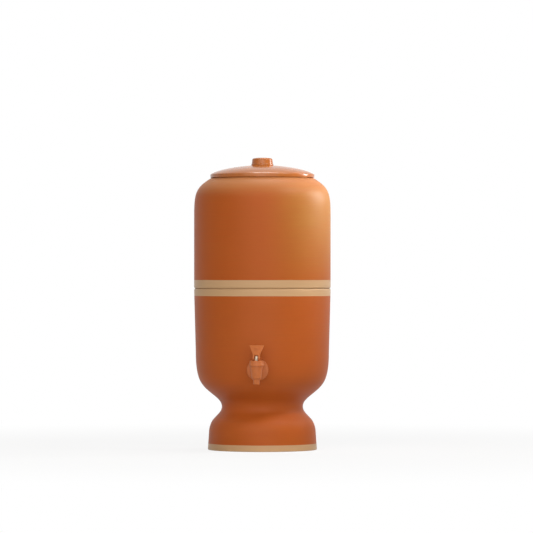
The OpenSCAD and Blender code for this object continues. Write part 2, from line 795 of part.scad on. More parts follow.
leg_depth = 7;
cam_r = pin_rise - bead_gap;                         // foot of the leg on the cap
cam_offset = valve_lift / sin(lever_stroke);         // the cam's centre in front of the pin
slot_top_z = cap_top_z + stem_top_h + 1.1;
paddle_z = slot_top_z + 1;                           // where the paddle starts to widen
paddle_top_z = cap_top_z + lever_h;

// Side view of the lever, as [towards the vessel, up] from the barrel's axis
module lever_side() {
  lean_y = (paddle_top_z - paddle_z) * tan(paddle_lean);
  face = paddle_t / cos(paddle_lean);
  hull() {
    translate([-cam_offset, pin_z]) circle(r = cam_r, $fn = 32);
    translate([0, pin_z]) circle(r = cam_r, $fn = 32);
    translate([-leg_depth / 2, paddle_z]) square([leg_depth, eps]);
  }
  polygon([
    [-leg_depth / 2, paddle_z], [leg_depth / 2, paddle_z],
    [lean_y + face - leg_depth / 2, paddle_top_z], [lean_y - leg_depth / 2, paddle_top_z]
  ]);
}

// Front view of the lever, as [across, up]
module lever_front() {
  polygon([
    [-fork_w / 2, cap_top_z], [fork_w / 2, cap_top_z], [fork_w / 2, paddle_z],
    [paddle_w / 2, paddle_top_z], [-paddle_w / 2, paddle_top_z], [-fork_w / 2, paddle_z]
  ]);
}

module tap_lever() {
  color(tap_plastic) at_barrel() difference() {
    intersection() {
      rotate([90, 0, 90]) linear_extrude(height = paddle_w + 2, center = true) lever_side();
      rotate([90, 0, 0]) linear_extrude(height = cut_reach, center = true) lever_front();
    }
    translate([-slot_w / 2, -cut_reach / 2, cap_top_z - 1])
      cube([slot_w, cut_reach, slot_top_z - cap_top_z + 1]);
    translate([0, 0, pin_z]) rotate([0, 90, 0])
      cylinder(d = pin_d + 2 * running_gap, h = fork_w + 2, center = true);
  }
}

module tap_lever_pin() {
  color(steel) at_barrel() translate([0, 0, pin_z]) rotate([0, 90, 0])
    cylinder(d = pin_d, h = fork_w, center = true);
}

// ---------- nodes ----------

lower_vessel();
upper_vessel();
lid();
lid_knob();
lid_knob_screw();
candle_shell();
candle_base();
candle_carbon();
candle_felt();
candle_upper_washer();
candle_lower_washer();
candle_wing_nut();
float_valve_body();
float_pin();
float_arm();
float_seal();
float_cup();
float_cap();
tap_body();
tap_cap();
tap_stem();
tap_stem_o_ring();
tap_spring_washer();
tap_spring();
tap_plug_seal();
tap_lever();
tap_lever_pin();
tap_outer_gasket();
tap_inner_gasket();
tap_back_nut();
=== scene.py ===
"""Looks of a clay gravity water filter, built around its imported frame.

Metres, +Z up, the tap on the -Y side. Radii and levels come from the frame's nodes where
they give them, and the rest are the potter's and the moulder's own sizes, in millimetres
times MM.
"""

import math

import bmesh
import bpy
from mathutils import Matrix, Vector


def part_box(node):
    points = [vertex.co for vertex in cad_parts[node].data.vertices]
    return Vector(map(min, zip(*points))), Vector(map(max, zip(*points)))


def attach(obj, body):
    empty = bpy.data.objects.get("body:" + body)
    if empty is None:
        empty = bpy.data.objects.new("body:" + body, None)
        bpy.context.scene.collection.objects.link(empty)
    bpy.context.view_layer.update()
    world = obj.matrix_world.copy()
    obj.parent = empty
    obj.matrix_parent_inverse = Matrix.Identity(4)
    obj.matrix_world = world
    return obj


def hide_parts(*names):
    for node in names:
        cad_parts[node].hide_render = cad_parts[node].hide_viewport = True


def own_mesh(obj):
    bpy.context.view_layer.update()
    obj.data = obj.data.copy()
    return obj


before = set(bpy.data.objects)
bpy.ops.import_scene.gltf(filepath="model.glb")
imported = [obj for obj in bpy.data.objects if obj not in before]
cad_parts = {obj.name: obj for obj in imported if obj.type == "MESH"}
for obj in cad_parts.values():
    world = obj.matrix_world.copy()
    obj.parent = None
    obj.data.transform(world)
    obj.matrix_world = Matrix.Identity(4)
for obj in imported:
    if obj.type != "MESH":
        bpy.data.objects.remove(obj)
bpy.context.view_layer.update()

MM = 0.001
EPS = 1e-6


# ---------- small tools ----------

def low(node):
    """Lowest corner of a frame node."""
    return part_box(node)[0]


def high(node):
    """Highest corner of a frame node."""
    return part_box(node)[1]


def point(x, y):
    """A point of an outline, as radius and height, or across and up."""
    return Vector((x, y))


def curve(p0, p1, p2, p3, steps):
    """Points of a cubic curve from p0 to p3, without p0 itself."""
    points = []
    for i in range(1, steps + 1):
        t = i / steps
        u = 1 - t
        points.append(u * u * u * p0 + 3 * u * u * t * p1 + 3 * u * t * t * p2 + t * t * t * p3)
    return points


def corner(centre, radius, start, end, steps=6):
    """Points of a round corner about its centre, between two angles in degrees."""
    turns = [math.radians(start + (end - start) * i / steps) for i in range(steps + 1)]
    return [centre + radius * point(math.cos(a), math.sin(a)) for a in turns]


def s_curve(a, b, middle, lean, pull, steps):
    """Points of an S curve from a to b, both upright, that leans most at a share of the way."""
    m = point(a.x + (b.x - a.x) * middle[0], a.y + (b.y - a.y) * middle[1])
    up = math.copysign(1, b.y - a.y)
    out = math.copysign(1, b.x - a.x)
    slope = point(out * math.sin(math.radians(lean)), up * math.cos(math.radians(lean)))
    first = abs(m.y - a.y)
    last = abs(b.y - m.y)
    return (
        curve(a, a + point(0, up * first * pull[0]), m - slope * first * pull[1], m, steps)
        + curve(m, m + slope * last * pull[2], b - point(0, up * last * pull[3]), b, steps)
    )


def add(tree, kind, inputs=None, **settings):
    """Adds a node with its settings. An input is given a value, or another node's socket."""
    node = tree.nodes.new(kind)
    for name, value in settings.items():
        setattr(node, name, value)
    for key, value in (inputs or {}).items():
        if isinstance(value, bpy.types.NodeSocket):
            tree.links.new(value, node.inputs[key])
        else:
            node.inputs[key].default_value = value
    return node


def maths(tree, operation, *values):
    """The result of an operation on numbers or other nodes' sockets."""
    return add(tree, "ShaderNodeMath", dict(enumerate(values)), operation=operation).outputs[0]


def mixed(tree, factor, first, second, blend="MIX"):
    """A colour between two others, each a colour or another node's socket."""
    return add(tree, "ShaderNodeMix", {"Factor": factor, 6: first, 7: second},
               data_type="RGBA", blend_type=blend).outputs[2]


def ranged(tree, value, start=0.0, end=1.0, at_start=0.0, at_end=1.0, shape="LINEAR"):
    """A number that goes from one amount to another as a value goes from start to end."""
    return add(tree, "ShaderNodeMapRange",
               {"Value": value, "From Min": start, "From Max": end,
                "To Min": at_start, "To Max": at_end}, interpolation_type=shape).outputs[0]


def new_object(name, mesh):
    """Links an object at the origin for a mesh whose place is in its points."""
    piece = bpy.data.objects.new(name, mesh)
    bpy.context.scene.collection.objects.link(piece)
    return piece


def settle(piece):
    """Turns a piece and its modifiers into a plain mesh."""
    seen = piece.evaluated_get(bpy.context.evaluated_depsgraph_get())
    mesh = bpy.data.meshes.new_from_object(seen)
    mesh.name = piece.name
    piece.modifiers.clear()
    piece.data = mesh
    return piece


def run_tree(piece, tree, values):
    """Runs a geometry tree on a piece with named values and settles the result."""
    modifier = piece.modifiers.new(tree.name, "NODES")
    modifier.node_group = tree
    for item in tree.interface.items_tree:
        if item.item_type == "SOCKET" and item.in_out == "INPUT" and item.name in values:
            modifier[item.identifier] = values[item.name]
    return settle(piece)


# ---------- colours and materials ----------

def srgb(code, alpha=1.0):
    """A linear colour from its sRGB hex code."""
    shares = [int(code[i:i + 2], 16) / 255 for i in (1, 3, 5)]
    return [s / 12.92 if s <= 0.04045 else ((s + 0.055) / 1.055) ** 2.4 for s in shares] + [alpha]


def new_material(name):
    """A node material with its shader, and the object's own coordinates."""
    material = bpy.data.materials.new(name)
    material.use_nodes = True
    tree = material.node_tree
    shader = tree.nodes["Principled BSDF"]
    place = add(tree, "ShaderNodeTexCoord").outputs["Object"]
    return material, tree, shader, place


def dress(tree, shader, colour, roughness, height, strength, depth):
    """Gives a shader its colour, its roughness and a relief of a real depth."""
    relief = add(tree, "ShaderNodeBump",
                 {"Height": height, "Strength": strength, "Distance": depth})
    tree.links.new(colour, shader.inputs["Base Color"])
    tree.links.new(roughness, shader.inputs["Roughness"])
    tree.links.new(relief.outputs[0], shader.inputs["Normal"])


def burnished_terracotta():
    """Red clay burnished with a smooth stone and left unglazed: a low satin with broad soft
    tone changes from the kiln, a painted golden highlight on the right of the upper pot, a
    painted pale sheen round the mouth, faint lines round the pot, and brushed beige slip at
    the foot and on both sides of the seam."""
    material, tree, shader, place = new_material("burnished_terracotta")
    shader.inputs["IOR"].default_value = 1.5
    shader.inputs["Specular IOR Level"].default_value = 0.15

    cloud_size = 90 * MM
    cloud = add(tree, "ShaderNodeTexNoise",
                {"Vector": place, "Scale": 1 / cloud_size, "Detail": 3, "Roughness": 0.5})
    clay = mixed(tree, cloud.outputs["Fac"], srgb("#A54E17"), srgb("#AC541E"))

    # Painted light: the right side and the shoulder of the upper pot are tinted golden in patches,
    # a painted warm highlight where the lamps on the right light it.
    where = add(tree, "ShaderNodeSeparateXYZ", {"Vector": place})
    aside = ranged(tree, where.outputs["X"], 0.0, 0.9 * belly_r, shape="SMOOTHSTEP")
    above = ranged(tree, where.outputs["Z"], seam_z - 40 * MM, land_z - 40 * MM,
                   shape="SMOOTHSTEP")
    patchy = ranged(tree, cloud.outputs["Fac"], 0.3, 0.7, at_start=0.7)
    painted_lit_side = maths(tree, "MULTIPLY", aside, above)
    painted_lit_side = maths(tree, "MULTIPLY", painted_lit_side, patchy)
    clay = mixed(tree, painted_lit_side, clay, srgb("#AF7838"))

    # Painted sheen: round the mouth the clay is tinted paler, standing in for the sheen of the
    # light from above.
    mouth = ranged(tree, where.outputs["Z"], land_z - 36 * MM, land_z - 6 * MM,
                   shape="SMOOTHSTEP")
    clay = mixed(tree, mouth, clay, srgb("#B47343"))

    # The burnishing stone runs round the pot: noise that is long round it and short upwards.
    line_h = 1.6 * MM
    line_l = 60 * MM
    flat = add(tree, "ShaderNodeMapping",
               {"Vector": place, "Scale": (1 / line_l, 1 / line_l, 1 / line_h)})
    lines = add(tree, "ShaderNodeTexNoise",
                {"Vector": flat.outputs[0], "Scale": 1.0, "Detail": 2, "Roughness": 0.6})
    lined = mixed(tree, 0.1, clay, lines.outputs["Color"], blend="SOFT_LIGHT")

    # Crushed-pot grains under 1 mm, drawn at 1.3 mm so that they show at all.
    grain_size = 1.3 * MM
    grain = add(tree, "ShaderNodeTexVoronoi", {"Vector": place, "Scale": 1 / grain_size})
    speck = ranged(tree, grain.outputs["Distance"], 0.05, 0.2, at_start=0.35, at_end=0.0)
    specked = mixed(tree, speck, lined, srgb("#7E3A16"))

    # Slip bands between their lower and upper heights, with a brush's slightly uneven edge.
    waver_l = 26 * MM
    waver = add(tree, "ShaderNodeTexNoise",
                {"Vector": place, "Scale": 1 / waver_l, "Detail": 2})
    shifted = maths(tree, "MULTIPLY_ADD", waver.outputs["Fac"], slip_waver, where.outputs["Z"])
    band = None
    for bottom, top in slip_bands:
        middle = (bottom + top + slip_waver) / 2
        reach = maths(tree, "SUBTRACT", shifted, middle)
        reach = maths(tree, "ABSOLUTE", reach)
        cover = ranged(tree, reach, (top - bottom) / 2 + slip_feather,
                       (top - bottom) / 2 - slip_feather)
        band = cover if band is None else maths(tree, "MAXIMUM", band, cover)
    streak = mixed(tree, lines.outputs["Fac"], srgb("#B79168"), srgb("#C29D75"))
    colour = mixed(tree, band, specked, streak)

    # The burnish varies with the lines, and the finer slip takes it better.
    polish = ranged(tree, lines.outputs["Fac"], at_start=0.44, at_end=0.52)
    matt = maths(tree, "MULTIPLY_ADD", band, -0.1, polish)
    height = maths(tree, "MULTIPLY_ADD", band, 0.6, lines.outputs["Fac"])
    height = maths(tree, "MULTIPLY_ADD", speck, -0.8, height)
    dress(tree, shader, colour, matt, height, 0.25, 0.05 * MM)
    return material


def raw_clay():
    """The same clay left as thrown and fired: matt, dusty, with sandy grains and finger marks."""
    material, tree, shader, place = new_material("raw_fired_clay")
    shader.inputs["IOR"].default_value = 1.45
    shader.inputs["Specular IOR Level"].default_value = 0.25
    cloud_size = 45 * MM
    sand_size = 1.2 * MM
    cloud = add(tree, "ShaderNodeTexNoise",
                {"Vector": place, "Scale": 1 / cloud_size, "Detail": 5, "Roughness": 0.6})
    clay = mixed(tree, cloud.outputs["Fac"], srgb("#B2673C"), srgb("#C97F52"))
    sand = add(tree, "ShaderNodeTexNoise",
               {"Vector": place, "Scale": 1 / sand_size, "Detail": 3, "Roughness": 0.7})
    dusty = mixed(tree, 0.25, clay, sand.outputs["Color"], blend="SOFT_LIGHT")
    rough = ranged(tree, sand.outputs["Fac"], at_start=0.75, at_end=0.95)
    dress(tree, shader, dusty, rough, sand.outputs["Fac"], 0.5, 0.25 * MM)
    return material


def moulded_plastic(name, dark, light, smooth, dull, ripple, gloss=0.5):
    """Injection-moulded polypropylene: an even colour with a slight flow of tone, a skin as
    smooth as its mould, and the shallow ripples of shrinkage as it cools."""
    material, tree, shader, place = new_material(name)
    shader.inputs["IOR"].default_value = 1.49
    shader.inputs["Specular IOR Level"].default_value = gloss
    flow_size = 30 * MM
    wear_size = 6 * MM
    ripple_l = 18 * MM
    flow = add(tree, "ShaderNodeTexNoise",
               {"Vector": place, "Scale": 1 / flow_size, "Detail": 2, "Distortion": 0.6})
    colour = mixed(tree, flow.outputs["Fac"], srgb(dark), srgb(light))
    wear = add(tree, "ShaderNodeTexNoise",
               {"Vector": place, "Scale": 1 / wear_size, "Detail": 6, "Roughness": 0.7})
    skin = ranged(tree, wear.outputs["Fac"], 0.3, 0.7, smooth, dull)
    wave = add(tree, "ShaderNodeTexNoise", {"Vector": place, "Scale": 1 / ripple_l, "Detail": 1})
    dress(tree, shader, colour, skin, wave.outputs["Fac"], 0.2, ripple)
    return material


def grainy(name, dark, light, grain, depth, rough, gloss=0.3, metallic=0.0):
    """A matt or drawn surface whose tone and relief follow grains of one real size."""
    material, tree, shader, place = new_material(name)
    shader.inputs["Metallic"].default_value = metallic
    shader.inputs["Specular IOR Level"].default_value = gloss
    grains = add(tree, "ShaderNodeTexNoise",
                 {"Vector": place, "Scale": 1 / grain, "Detail": 4, "Roughness": 0.65})
    colour = mixed(tree, grains.outputs["Fac"], srgb(dark), srgb(light))
    skin = ranged(tree, grains.outputs["Fac"], at_start=rough - 0.08, at_end=rough + 0.08)
    dress(tree, shader, colour, skin, grains.outputs["Fac"], 0.4, depth)
    return material


# ---------- geometry trees ----------

def new_tree(name, sockets):
    """A geometry tree with named inputs, and the sockets that give them."""
    tree = bpy.data.node_groups.new(name, "GeometryNodeTree")
    tree.interface.new_socket("Geometry", in_out="OUTPUT", socket_type="NodeSocketGeometry")
    tree.interface.new_socket("Geometry", in_out="INPUT", socket_type="NodeSocketGeometry")
    for label, kind in sockets:
        tree.interface.new_socket(label, in_out="INPUT", socket_type="NodeSocket" + kind)
    return tree, add(tree, "NodeGroupInput").outputs


def end_tree(tree, geometry, finish):
    """Ends a tree with real geometry of one finish."""
    whole = add(tree, "GeometryNodeRealizeInstances", {"Geometry": geometry})
    coated = add(tree, "GeometryNodeSetMaterial",
                 {"Geometry": whole.outputs[0], "Material": finish})
    add(tree, "NodeGroupOutput", {"Geometry": coated.outputs[0]})
    return tree


def turned_tree():
    """Turns an outline about the Z axis, as a pot is thrown or a round mould is cut.

    The outline is a line of points at their radius along X. Faces past the point number
    "Outside Points" are the inside, which may carry the shallow spiral that fingers leave."""
    tree, inputs = new_tree("turned_body", [
        ("Segments", "Int"), ("Outside Points", "Int"), ("Finger Depth", "Float"),
        ("Finger Pitch", "Float"), ("Crease Angle", "Float"),
        ("Outside", "Material"), ("Inside", "Material")])
    columns = maths(tree, "ADD", inputs["Segments"], 1.0)
    rows = add(tree, "GeometryNodeAttributeDomainSize", {"Geometry": inputs["Geometry"]})
    grid = add(tree, "GeometryNodeMeshGrid",
               {"Vertices X": rows.outputs["Point Count"], "Vertices Y": columns})
    index = add(tree, "GeometryNodeInputIndex").outputs[0]
    share = maths(tree, "DIVIDE", index, columns)
    row = maths(tree, "FLOOR", share)
    column = maths(tree, "MODULO", index, columns)
    turn = maths(tree, "DIVIDE", column, inputs["Segments"])
    angle = maths(tree, "MULTIPLY", turn, math.tau)
    here = add(tree, "GeometryNodeInputPosition").outputs[0]
    sample = add(tree, "GeometryNodeSampleIndex",
                 {"Geometry": inputs["Geometry"], "Value": here, "Index": row},
                 data_type="FLOAT_VECTOR", domain="POINT")
    outline = add(tree, "ShaderNodeSeparateXYZ", {"Vector": sample.outputs[0]})

    # The fingers' spiral climbs by one pitch a turn, on the inside alone, off the poles and
    # off the last row, where a closed outline meets its start.
    climb = maths(tree, "DIVIDE", outline.outputs["Z"], inputs["Finger Pitch"])
    phase = maths(tree, "ADD", climb, turn)
    wave = maths(tree, "MULTIPLY", phase, math.tau)
    wave = maths(tree, "SINE", wave)
    inside = maths(tree, "GREATER_THAN", row, inputs["Outside Points"])
    last_row = maths(tree, "SUBTRACT", rows.outputs["Point Count"], 1.0)
    not_last = maths(tree, "LESS_THAN", row, last_row)
    off_pole = maths(tree, "GREATER_THAN", outline.outputs["X"], 20 * MM)
    where = maths(tree, "MULTIPLY", inside, off_pole)
    where = maths(tree, "MULTIPLY", where, not_last)
    depth = maths(tree, "MULTIPLY", where, inputs["Finger Depth"])
    radius = maths(tree, "MULTIPLY_ADD", wave, depth, outline.outputs["X"])
    cosine = maths(tree, "COSINE", angle)
    sine = maths(tree, "SINE", angle)
    x = maths(tree, "MULTIPLY", radius, cosine)
    y = maths(tree, "MULTIPLY", radius, sine)
    place = add(tree, "ShaderNodeCombineXYZ",
                {"X": x, "Y": y, "Z": outline.outputs["Z"]})
    body = add(tree, "GeometryNodeSetPosition",
               {"Geometry": grid.outputs["Mesh"], "Position": place.outputs[0]})

    # A face's upper row of points says which side it is on.
    face_row = maths(tree, "DIVIDE", index, inputs["Segments"])
    upper_row = maths(tree, "ADD", face_row, 1.0)
    face_inside = add(tree, "FunctionNodeCompare",
                      {0: upper_row, 1: inputs["Outside Points"]},
                      data_type="FLOAT", operation="GREATER_EQUAL")
    marked = add(tree, "GeometryNodeStoreNamedAttribute",
                 {"Geometry": body.outputs[0], "Name": "inside_face",
                  "Value": face_inside.outputs[0]}, data_type="BOOLEAN", domain="FACE")
    # Between two points on the axis there is no face to keep.
    area = add(tree, "GeometryNodeInputMeshFaceArea")
    empty = maths(tree, "LESS_THAN", area.outputs[0], EPS * EPS)
    kept = add(tree, "GeometryNodeDeleteGeometry",
               {"Geometry": marked.outputs[0], "Selection": empty}, domain="FACE")
    closed = add(tree, "GeometryNodeMergeByDistance",
                 {"Geometry": kept.outputs[0], "Distance": 2 * EPS})
    smooth = add(tree, "GeometryNodeSetShadeSmooth", {"Geometry": closed.outputs[0]}, domain="FACE")
    bend = add(tree, "GeometryNodeInputMeshEdgeAngle")
    sharp = maths(tree, "GREATER_THAN", bend.outputs["Unsigned Angle"], inputs["Crease Angle"])
    creased = add(tree, "GeometryNodeSetShadeSmooth",
                  {"Geometry": smooth.outputs[0], "Selection": sharp,
                   "Shade Smooth": False}, domain="EDGE")
    whole = add(tree, "GeometryNodeRealizeInstances", {"Geometry": creased.outputs[0]})
    coated = add(tree, "GeometryNodeSetMaterial",
                 {"Geometry": whole.outputs[0], "Material": inputs["Outside"]})
    is_inside = add(tree, "GeometryNodeInputNamedAttribute", {"Name": "inside_face"},
                    data_type="BOOLEAN")
    lined = add(tree, "GeometryNodeSetMaterial",
                {"Geometry": coated.outputs[0], "Selection": is_inside.outputs[0],
                 "Material": inputs["Inside"]})
    add(tree, "NodeGroupOutput", {"Geometry": lined.outputs[0]})
    return tree


def row_tree():
    """Copies the piece's own mesh in a row, or round the Z axis, as bars or ribs."""
    tree, inputs = new_tree("row_of_copies", [
        ("Count", "Int"), ("Step", "Vector"), ("Turn", "Float"), ("Widen", "Float"),
        ("Finish", "Material")])
    number = add(tree, "GeometryNodeInputIndex").outputs[0]
    points = add(tree, "GeometryNodePoints", {"Count": inputs["Count"]})
    step = add(tree, "ShaderNodeVectorMath", {0: inputs["Step"]}, operation="SCALE")
    tree.links.new(number, step.inputs["Scale"])
    turn = maths(tree, "MULTIPLY", number, inputs["Turn"])
    facing = add(tree, "ShaderNodeCombineXYZ", {"Z": turn})
    widen = maths(tree, "MULTIPLY_ADD", number, inputs["Widen"], 1.0)
    size = add(tree, "ShaderNodeCombineXYZ", {"X": widen, "Y": 1.0, "Z": 1.0})
    placed = add(tree, "GeometryNodeSetPosition",
                 {"Geometry": points.outputs[0], "Position": step.outputs[0]})
    copies = add(tree, "GeometryNodeInstanceOnPoints",
                 {"Points": placed.outputs[0], "Instance": inputs["Geometry"],
                  "Rotation": facing.outputs[0], "Scale": size.outputs[0]})
    return end_tree(tree, copies.outputs[0], inputs["Finish"])


def wound_tree():
    """Winds a wire or a small ridge round the Z axis, for a spring or a screw thread."""
    tree, inputs = new_tree("wound_wire", [
        ("Radius", "Float"), ("Turns", "Float"), ("Height", "Float"), ("Wire", "Float"),
        ("Finish", "Material")])
    helix = add(tree, "GeometryNodeCurveSpiral",
                {"Resolution": 48, "Rotations": inputs["Turns"], "Start Radius": inputs["Radius"],
                 "End Radius": inputs["Radius"], "Height": inputs["Height"]})
    round_wire = add(tree, "GeometryNodeCurvePrimitiveCircle",
                     {"Resolution": 10, "Radius": inputs["Wire"]}, mode="RADIUS")
    wound = add(tree, "GeometryNodeCurveToMesh",
                {"Curve": helix.outputs["Curve"], "Profile Curve": round_wire.outputs["Curve"],
                 "Fill Caps": True})
    return end_tree(tree, wound.outputs[0], inputs["Finish"])


# ---------- making pieces ----------

TURNED = turned_tree()
ROW = row_tree()
WOUND = wound_tree()


def outline_mesh(name, outline):
    """A mesh of the outline's points alone, in order, in the XZ plane."""
    mesh = bpy.data.meshes.new(name)
    mesh.from_pydata([(p.x, 0, p.y) for p in outline], [], [])
    return mesh


def turned(name, outline, finish, inside=None, outside_points=None, segments=96,
           finger_depth=0.0, finger_pitch=8 * MM, crease=40):
    """A body of revolution from its outline, outside first and up, then inside and down."""
    return run_tree(new_object(name, outline_mesh(name, outline)), TURNED, {
        "Segments": segments,
        "Outside Points": outside_points or len(outline),
        "Finger Depth": finger_depth,
        "Finger Pitch": finger_pitch,
        "Crease Angle": math.radians(crease),
        "Outside": finish,
        "Inside": inside or finish,
    })


def wound(name, radius, wire, height, turns, finish):
    """A round wire wound from z = 0 up to a height."""
    return run_tree(new_object(name, bpy.data.meshes.new(name)), WOUND, {
        "Radius": radius, "Wire": wire, "Height": height, "Turns": turns, "Finish": finish})


def shift(x=0.0, y=0.0, z=0.0):
    """The matrix of a move."""
    return Matrix.Translation((x, y, z))


def put(piece, *steps):
    """Carries a piece's points through turns and moves, first to last."""
    for step in steps:
        piece.data.transform(step)
    return piece


FORWARD = Matrix.Rotation(math.pi / 2, 4, "X")  # a piece along +Z comes to lie along -Y
ACROSS = Matrix.Rotation(math.pi / 2, 4, "Y")   # or along +X


def rod(radius, start, end):
    """Outline of a plain closed cylinder from start to end."""
    return [point(0, start), point(radius, start), point(radius, end), point(0, end)]


def soften(outline, radius, steps=4):
    """Rounds an outline's corners and leaves the places where it bends a little at a time."""
    least = math.radians(22)
    rounded = [outline[0]]
    for before, here, after in zip(outline, outline[1:], outline[2:]):
        coming, going = here - before, after - here
        turn = abs(coming.angle_signed(going, 0))
        if turn < least:
            rounded.append(here)
            continue
        reach = min(radius * math.tan(turn / 2), 0.45 * coming.length, 0.45 * going.length)
        start = here - coming.normalized() * reach
        end = here + going.normalized() * reach
        for i in range(steps + 1):
            t = i / steps
            rounded.append((1 - t) ** 2 * start + 2 * t * (1 - t) * here + t * t * end)
    return rounded + [outline[-1]]


def combine(piece, other, operation):
    """Joins another piece's solid to this one, or takes it away, and deletes the other."""
    boolean = piece.modifiers.new(operation.lower(), "BOOLEAN")
    boolean.operation = operation
    boolean.solver = "EXACT"
    boolean.material_mode = "TRANSFER"
    boolean.object = other
    settle(piece)
    bpy.data.objects.remove(other)
    return piece


def join(piece, other):
    """Adds another piece's mesh to this one, as a ridge that grows out of it."""
    joined = bmesh.new()
    joined.from_mesh(piece.data)
    joined.from_mesh(other.data)
    joined.to_mesh(piece.data)
    joined.free()
    bpy.data.objects.remove(other)
    return piece


def shade(piece, crease=35):
    """Smooth faces, with hard edges where the surface turns by more than the crease."""
    shaped = bmesh.new()
    shaped.from_mesh(piece.data)
    for face in shaped.faces:
        face.smooth = True
    for edge in shaped.edges:
        if len(edge.link_faces) == 2:
            edge.smooth = edge.calc_face_angle(0) < math.radians(crease)
    shaped.to_mesh(piece.data)
    shaped.free()
    return piece


def copied(name, node, finish, bevel, segments=3, keep_above=30):
    """A frame node's shape with its sharp edges rounded, as a mould or a cutter leaves them."""
    shaped = bmesh.new()
    shaped.from_mesh(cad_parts[node].data)
    bmesh.ops.remove_doubles(shaped, verts=shaped.verts, dist=EPS)
    bmesh.ops.dissolve_limit(shaped, angle_limit=math.radians(1), verts=shaped.verts,
                             edges=shaped.edges)
    mesh = bpy.data.meshes.new(name)
    shaped.to_mesh(mesh)
    shaped.free()
    mesh.materials.clear()
    mesh.materials.append(finish)
    piece = new_object(name, mesh)
    rounding = piece.modifiers.new("rounding", "BEVEL")
    rounding.width = bevel
    rounding.segments = segments
    rounding.limit_method = "ANGLE"
    rounding.angle_limit = math.radians(keep_above)
    rounding.use_clamp_overlap = True
    return shade(settle(piece))


def finished(finish, *nodes):
    """Frame nodes that keep their shape get their finish."""
    for node in nodes:
        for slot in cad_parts[node].material_slots:
            slot.material = finish


def stand_in(piece, body, slot, *nodes):
    """The piece moves with its body and is shown for its nodes. The slot is not used."""
    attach(piece, body)
    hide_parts(*nodes)
    return piece


# ---------- levels and radii ----------

tap_z = (low("tap_back_nut").z + high("tap_back_nut").z) / 2
belly_r = high("lower_vessel").x
seam_z = high("lower_vessel").z
land_z = high("upper_vessel").z
lid_r = high("lid").x
lid_top_z = high("lid").z
knob_top_z = high("lid_knob").z
knob_r = high("lid_knob").x
wall_t = 8.5 * MM
rim_r = 2.8 * MM

# Slip bands, as their lower and upper heights: on the foot, under the seam and over it
foot_band_h = 10.4 * MM
under_band_h = 12.2 * MM
over_band_h = 13.8 * MM
slip_waver = 0.5 * MM     # how far the brush strays
slip_feather = 0.25 * MM  # half the width of the slip's thinning edge
past_edge = 5 * MM        # the slip goes on round the rims
slip_bands = [
    (-past_edge, foot_band_h),
    (seam_z - under_band_h, seam_z + over_band_h),
]

# ---------- finishes ----------

clay = burnished_terracotta()
raw = raw_clay()
lid_plastic = moulded_plastic("polished_polypropylene", "#A75B1D", "#AE6422", 0.15, 0.24, 0.05 * MM,
                               gloss=0.34)
tap_plastic = moulded_plastic("moulded_polypropylene", "#B35F2B", "#BB6934", 0.34, 0.44, 0.04 * MM,
                              gloss=0.3)
white_plastic = moulded_plastic("white_polypropylene", "#DDD8CA", "#E6E2D6", 0.32, 0.45, 0.04 * MM)
ceramic = grainy("porous_ceramic", "#DCD8CC", "#ECE9E0", 0.9 * MM, 0.08 * MM, 0.88)
carbon = grainy("pressed_carbon", "#141414", "#262626", 0.7 * MM, 0.15 * MM, 0.9)
felt = grainy("pressed_felt", "#C6C2B6", "#DAD7CC", 0.5 * MM, 0.2 * MM, 0.92)
black_rubber = grainy("moulded_rubber", "#161616", "#232323", 2.5 * MM, 0.03 * MM, 0.6)
stem_plastic = moulded_plastic("ivory_polypropylene", "#EADDC0", "#F0E5CC", 0.4, 0.5, 0.03 * MM,
                               gloss=0.3)
silicone = grainy("cast_silicone", "#C4BFB2", "#D2CEC3", 5 * MM, 0.02 * MM, 0.45, gloss=0.4)
steel = grainy("drawn_stainless_steel", "#9C9B98", "#B4B3B0", 1.2 * MM, 0.01 * MM, 0.3,
               gloss=0.5, metallic=1.0)
# Painted shade: steel coloured dark reddish brown, standing in for the shade in the lever's slot
# beside the stem.
slot_shade_steel = grainy("steel_painted_slot_shade", "#4A3325", "#5C4332", 1.2 * MM, 0.01 * MM, 0.5,
                    gloss=0.5, metallic=1.0)

# ---------- the reservoir ----------

waist = point(66.5 * MM, 71 * MM)
foot_r = 89.5 * MM
foot_draft = 1.75 * MM
foot_wall_h = 26 * MM
belly_draft = 2.75 * MM
bowl_h = 87 * MM
floor_z = 93 * MM
floor_t = 13 * MM
tap_hole_r = 8.5 * MM
finger_depth = 0.18 * MM
foot_shoulder = point(foot_r - foot_draft, foot_wall_h)
bowl_top = point(belly_r - belly_draft, waist.y + bowl_h)
hollow_top_z = floor_z - floor_t
edge_r = 1.5 * MM
bowl_shape = dict(middle=(0.69, 0.38), lean=41, pull=(0.38, 0.54, 0.16, 0.68))
foot_shape = dict(middle=(0.34, 0.53), lean=40, pull=(0.68, 0, 0.52, 0.4))
hollow_shape = dict(middle=(0.66, 0.47), lean=40, pull=(0.4, 0.52, 0, 0.68))

reservoir_outside = (
    corner(point(foot_r - edge_r, edge_r), edge_r, -90, 0)
    + [foot_shoulder]
    + s_curve(foot_shoulder, waist, steps=20, **foot_shape)
    + s_curve(waist, bowl_top, steps=26, **bowl_shape)
    + corner(point(belly_r - rim_r, seam_z - rim_r), rim_r, 0, 90, 10)
)

